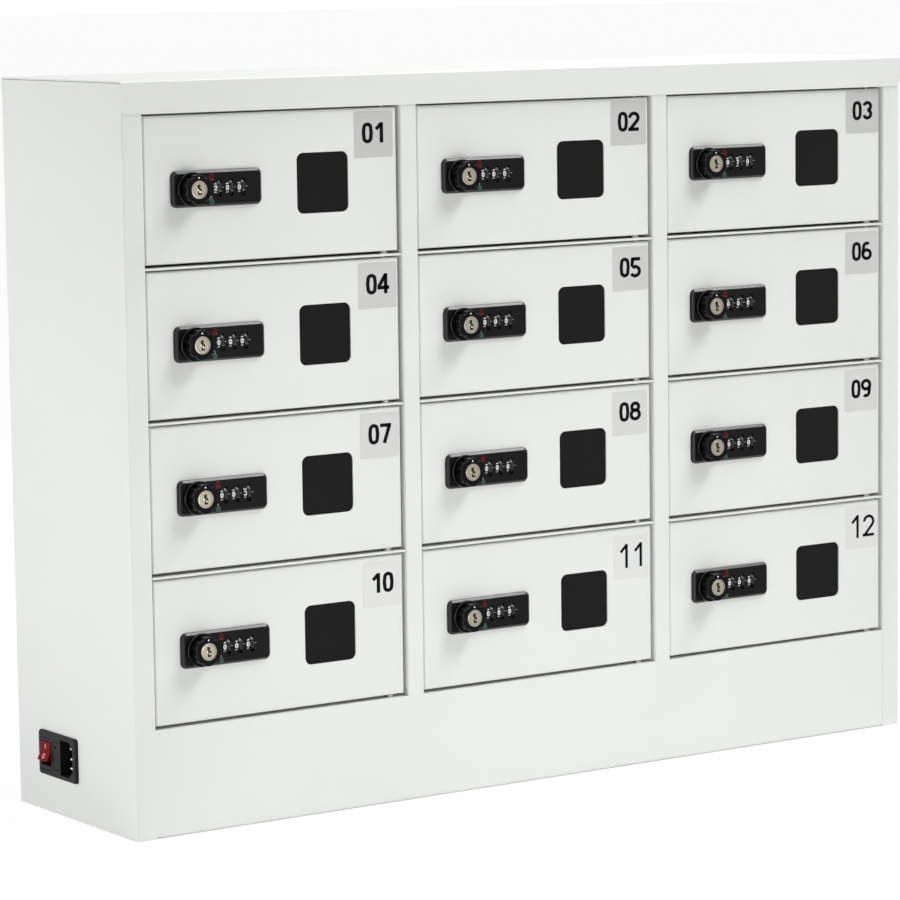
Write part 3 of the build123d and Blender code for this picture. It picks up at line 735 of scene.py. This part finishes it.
module = slab((0, -half_length, -half_height), (flange_thickness, half_length, half_height))
round_off(module, edges_along(module, 0), flange_corner, 5)
round_off(module, rim(module, 0, -1), flange_bevel, 3)
tub = slab((flange_thickness / 2, -half_length + flange_lip, -half_height + flange_lip),
           (inlet_depth, half_length - flange_lip, half_height - flange_lip))
module = carve(module, tub, way="UNION")
recess_low = -half_length + recess_front
recess = slab((-fit, recess_low, -recess_height / 2),
              (recess_depth, recess_low + recess_length, recess_height / 2))
keyed = [edge for edge in edges_along(recess, 0) if edge.verts[0].co.y < recess_low + fit]
round_off(recess, keyed, recess_key, 1)
pocket = slab((-fit, drawer_low.y - fit, drawer_low.z - fit),
              (drawer_high.x + fit, drawer_high.y + fit, drawer_high.z + fit))
well = slab((-fit, rocker_middle - rocker_half - fit, -well_half),
            (well_depth, rocker_middle + rocker_half + fit, well_half))
frame_lines = [slab((-fit, rocker_middle - 7 * mm, level - line_half),
                    (line_sink, rocker_middle + 8.5 * mm, level + line_half))
               for level in line_levels]
module = carve(module, recess, pocket, well, *frame_lines)
add_piece("power_inlet_housing", module, inlet_centre, "cabinet", inlet_plastic,
          stands_for=["power_inlet"], slot="inlet_plastic")
blades = []
for level in (-1, 0, 1):
    earth = level == 0
    reach = contact_length + (earth_lead if earth else 0)
    across = recess_low + recess_length / 2 - (contact_stagger if earth else 0)
    blade = slab((recess_depth - reach, across - contact_half_width,
                  level * contact_pitch - contact_half_height),
                 (recess_depth, across + contact_half_width,
                  level * contact_pitch + contact_half_height))
    round_off(blade, rim(blade, 0, -1), contact_edge, 2)
    blades.append(blade)
add_piece("power_inlet_contacts", together(*blades), inlet_centre, "cabinet", contact_metal)


# ------------------------------------------------------------------ fuse drawer
# A slim drawer of the same thermoplastic that pulls straight out of the module, with a
# finger notch in its face and a small glass fuse lying in its tray.
drawer_wall = 2 * mm
drawer_edge = 0.5 * mm
notch_half = 1.6 * mm
notch_low = 4.6 * mm
notch_high = 3.2 * mm
notch_depth = 1.2 * mm
fuse_radius = 2.5 * mm
cap_length = 5 * mm
cap_edge = 0.25 * mm
fuse_glass = finish("fuse_glass", (205, 214, 210), 0.08, 2 * mm, 0.001 * mm)
drawer_middle = (drawer_low.y + drawer_high.y) / 2
drawer = slab(drawer_low, drawer_high)
round_off(drawer, rim(drawer, 0, -1), drawer_edge, 2)
tray = slab((drawer_low.x + drawer_wall, drawer_low.y - fit, drawer_low.z + drawer_wall),
            (drawer_high.x - drawer_wall, drawer_middle + fuse_radius,
             drawer_high.z - drawer_wall))
finger_notch = slab((-fit, drawer_middle - notch_half, drawer_high.z - notch_low),
                    (notch_depth, drawer_middle + notch_half, drawer_high.z - notch_high))
drawer = carve(drawer, tray, finger_notch)
fuse_start = drawer_low.x + drawer_wall
fuse_length = drawer_high.x - drawer_low.x - 2 * drawer_wall
fuse_line = drawer_middle - fit
tube = rod(fuse_radius - 0.15 * mm, (fuse_start, fuse_line, 0), (fuse_length, 0, 0), 24)
caps = [rod(fuse_radius, (start, fuse_line, 0), (cap_length, 0, 0), 24)
        for start in (fuse_start, fuse_start + fuse_length - cap_length)]
for cap in caps:
    round_off(cap, rim(cap, 0, -1) + rim(cap, 0, 1), cap_edge, 2)
add_piece("fuse_drawer_tray", drawer, inlet_centre, "fuse_drawer", inlet_plastic,
          stands_for=["fuse_drawer"], slot="fuse_plastic")
add_piece("fuse_drawer_fuse", together(painted(tube, 0), *[painted(cap, 1) for cap in caps]),
          inlet_centre, "fuse_drawer", fuse_glass, contact_metal)


# ------------------------------------------------------------------ rocker switch
# A red translucent rocker on two stub pivots, with I and O printed in white on the two
# halves of its shallow V face. Its lower end stands out, which is the ON position.
pivot_depth = 5 * mm
pivot_radius = 1.5 * mm
pivot_length = 1.5 * mm
rocker_end = 7 * mm
face_middle = -6 * mm
face_end = -7.4 * mm
rocker_back = 6.5 * mm
rocker_taper = 2 * mm
rocker_edge = 0.5 * mm
rocker_tilt = math.radians(14)
print_lift = 0.05 * mm
bar_half_width = 0.45 * mm
bar_half_height = 1.7 * mm
ring_inside = 1.2 * mm
ring_outside = 1.85 * mm
face_slope = math.atan2(face_middle - face_end, rocker_end)
red_plastic = finish("red_polycarbonate", (122, 7, 11), 0.3, 1.5 * mm, 0.002 * mm, specular=0.05,
                     drift=0.2, cloud=5 * mm)
switch_print = finish("switch_print", (236, 190, 186), 0.45, 0.3 * mm, 0.001 * mm)

outline = [(face_end, -rocker_end), (face_middle, 0), (face_end, rocker_end),
           (rocker_back - rocker_taper, rocker_end - rocker_taper), (rocker_back, 0),
           (rocker_back - rocker_taper, rocker_taper - rocker_end)]
rocker = bmesh.new()
corners = [rocker.verts.new((x, -rocker_half, z)) for x, z in outline]
side = bmesh.ops.extrude_face_region(rocker, geom=[rocker.faces.new(corners)])
bmesh.ops.translate(rocker, vec=(0, 2 * rocker_half, 0),
                    verts=[v for v in side["geom"] if isinstance(v, bmesh.types.BMVert)])
bmesh.ops.recalc_face_normals(rocker, faces=rocker.faces)
sharp_edges = [edge for edge in rocker.edges if edge.calc_face_angle() > math.radians(30)]
round_off(rocker, sharp_edges, rocker_edge, 3)
stub = rod(pivot_radius, (0, -rocker_half - pivot_length, 0),
           (0, 2 * (rocker_half + pivot_length), 0), 24)
bar = slab((-print_lift, -bar_half_width, -bar_half_height),
           (print_lift, bar_half_width, bar_half_height))
ring = lathe([(ring_inside, -print_lift), (ring_outside, -print_lift), (ring_outside, print_lift),
              (ring_inside, print_lift)], 32, closed=True)
ring = moved(ring, Matrix.Rotation(math.pi / 2, 4, "Z"))
face_half = (face_middle + face_end) / 2
on_upper = (Matrix.Translation((face_half, 0, rocker_end / 2))
            @ Matrix.Rotation(-face_slope, 4, "Y"))
on_lower = (Matrix.Translation((face_half, 0, -rocker_end / 2))
            @ Matrix.Rotation(face_slope, 4, "Y"))
switch = together(painted(together(rocker, stub), 0), painted(moved(bar, on_upper), 1),
                  painted(moved(ring, on_lower), 1))
switch = moved(switch, Matrix.Rotation(rocker_tilt, 4, "Y"))
add_piece("rocker_switch_cap", switch, inlet_centre + Vector((pivot_depth, rocker_middle, 0)),
          "rocker", red_plastic, switch_print, stands_for=["rocker_switch"], slot="rocker_plastic")


# ------------------------------------------------------------------ charging ports and supply
# Snap-in ports of black plastic in the wall behind each phone, with a contact tongue in each
# of their two sockets. Their supply and its cables lie out of sight behind that wall.
socket_pitch = 17 * mm
tongue_width = 11.4 * mm
tongue_thickness = 1.9 * mm
tongue_set_back = 1.5 * mm
tongue_edge = 0.3 * mm
socket_depth = 11 * mm
port_flange = 2 * mm
port_plastic = finish("port_plastic", (34, 34, 36), 0.4, 0.3 * mm, 0.006 * mm, drift=0.05)
cable_black = finish("supply_black", (30, 30, 31), 0.5, 0.8 * mm, 0.01 * mm, drift=0.05)
tongue_plastic = finish("tongue_plastic", (225, 226, 228), 0.4, 0.5 * mm, 0.002 * mm)
dress("charging_ports", port_plastic)
dress("power_supply", cable_black)
ports_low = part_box("charging_ports")[0]
tongues = []
for number in numbers:
    low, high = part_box("door_" + number)
    port_x = (low.x + high.x) / 2
    port_z = (low.z + high.z) / 2
    for side in (-1, 1):
        middle = port_x + side * socket_pitch / 2
        tongue = slab((middle - tongue_width / 2, ports_low.y + tongue_set_back,
                       port_z - tongue_thickness / 2),
                      (middle + tongue_width / 2, ports_low.y + port_flange + socket_depth,
                       port_z + tongue_thickness / 2))
        tongues.append(round_off(tongue, rim(tongue, 1, -1), tongue_edge, 2))
add_piece("charging_port_tongues", together(*tongues), (0, 0, 0), "cabinet", tongue_plastic,
          slot="port_plastic")


# ------------------------------------------------------------------ studio
# A white floor that runs out of view under a faint, even sky. Three soft boxes hang high, one in
# front and two overhead; a small one stands low on the left and another low in front. The camera
# doesn't see them, and looks at the cabinet's left front corner.
floor_size = 80
lens = 156.65
eye = Vector((-1.639767, -2.384809, 0.597231))
look_right = math.radians(34.157)
look_down = math.radians(7.1193)
roll = math.radians(-0.7547)
floor_white = 0.93
floor_glow = 1.05
glow_share = 0.9
sky_strength = 0.15


def seen_directly(tree):
    """1 for a ray that comes straight from the camera or by way of gloss or glass, else 0."""
    rays = tree.nodes.new("ShaderNodeLightPath")
    first = tree.nodes.new("ShaderNodeMath")
    first.operation = "MAXIMUM"
    both = tree.nodes.new("ShaderNodeMath")
    both.operation = "MAXIMUM"
    tree.links.new(rays.outputs["Is Camera Ray"], first.inputs[0])
    tree.links.new(rays.outputs["Is Glossy Ray"], first.inputs[1])
    tree.links.new(first.outputs[0], both.inputs[0])
    tree.links.new(rays.outputs["Is Transmission Ray"], both.inputs[1])
    return both.outputs[0]


floor_mesh = bpy.data.meshes.new("floor")
floor_shape = bmesh.new()
bmesh.ops.create_grid(floor_shape, x_segments=1, y_segments=1, size=floor_size / 2)
floor_shape.to_mesh(floor_mesh)
floor = bpy.data.objects.new("floor", floor_mesh)
bpy.context.scene.collection.objects.link(floor)
floor_material = bpy.data.materials.new("white_floor")
floor_material.use_nodes = True
tree = floor_material.node_tree
tree.nodes.remove(tree.nodes["Principled BSDF"])
matt = tree.nodes.new("ShaderNodeBsdfDiffuse")
matt.inputs["Color"].default_value = (floor_white, floor_white, floor_white, 1)
glow = tree.nodes.new("ShaderNodeEmission")
glow.inputs["Strength"].default_value = floor_glow
share = tree.nodes.new("ShaderNodeMath")
share.operation = "MULTIPLY"
share.inputs[1].default_value = glow_share
blend = tree.nodes.new("ShaderNodeMixShader")
tree.links.new(seen_directly(tree), share.inputs[0])
tree.links.new(share.outputs[0], blend.inputs["Fac"])
tree.links.new(matt.outputs[0], blend.inputs[1])
tree.links.new(glow.outputs[0], blend.inputs[2])
tree.links.new(blend.outputs[0], tree.nodes["Material Output"].inputs["Surface"])
floor_mesh.materials.append(floor_material)

world = bpy.data.worlds.new("studio")
bpy.context.scene.world = world
world.use_nodes = True
tree = world.node_tree
tree.nodes.clear()
soft_sky = tree.nodes.new("ShaderNodeBackground")
soft_sky.inputs["Strength"].default_value = sky_strength
white_sky = tree.nodes.new("ShaderNodeBackground")
for sky in (soft_sky, white_sky):
    sky.inputs["Color"].default_value = (1, 1, 1, 1)
blend = tree.nodes.new("ShaderNodeMixShader")
result = tree.nodes.new("ShaderNodeOutputWorld")
tree.links.new(seen_directly(tree), blend.inputs["Fac"])
tree.links.new(soft_sky.outputs[0], blend.inputs[1])
tree.links.new(white_sky.outputs[0], blend.inputs[2])
tree.links.new(blend.outputs[0], result.inputs["Surface"])


def lamp(name, place, aim, size, power):
    """A square soft box at a place, turned towards a point."""
    light = bpy.data.lights.new(name, "AREA")
    light.shape = "SQUARE"
    light.size = size
    light.energy = power
    holder = bpy.data.objects.new(name, light)
    bpy.context.scene.collection.objects.link(holder)
    holder.location = place
    holder.rotation_euler = (Vector(aim) - Vector(place)).to_track_quat("-Z", "Y").to_euler()
    holder.visible_camera = False


middle = (cad_box[0] + cad_box[1]) / 2
lamp("key", (0.9, -1.4, 2.3), middle, 0.9, 28)
lamp("overhead", (1.4, -0.4, 2.5), middle, 0.9, 30)
lamp("top", (0.6, 0.2, 2.4), middle, 1, 8)
lamp("side", (-1.4, 0.1, 0.24), (-0.3, 0, 0.18), 0.4, 6.2)
lamp("low", (-0.15, -0.9, 0.1), (-0.1, 0, 0.05), 0.3, 1.75)

camera = bpy.data.cameras.new("camera")
camera.lens = lens
camera.sensor_width = 36
camera.clip_end = 200
viewer = bpy.data.objects.new("camera", camera)
bpy.context.scene.collection.objects.link(viewer)
viewer.matrix_world = (Matrix.Translation(eye) @ Matrix.Rotation(-look_right, 4, "Z")
                       @ Matrix.Rotation(math.pi / 2 - look_down, 4, "X")
                       @ Matrix.Rotation(roll, 4, "Z"))
bpy.context.scene.camera = viewer
bpy.context.scene.view_settings.view_transform = "Standard"
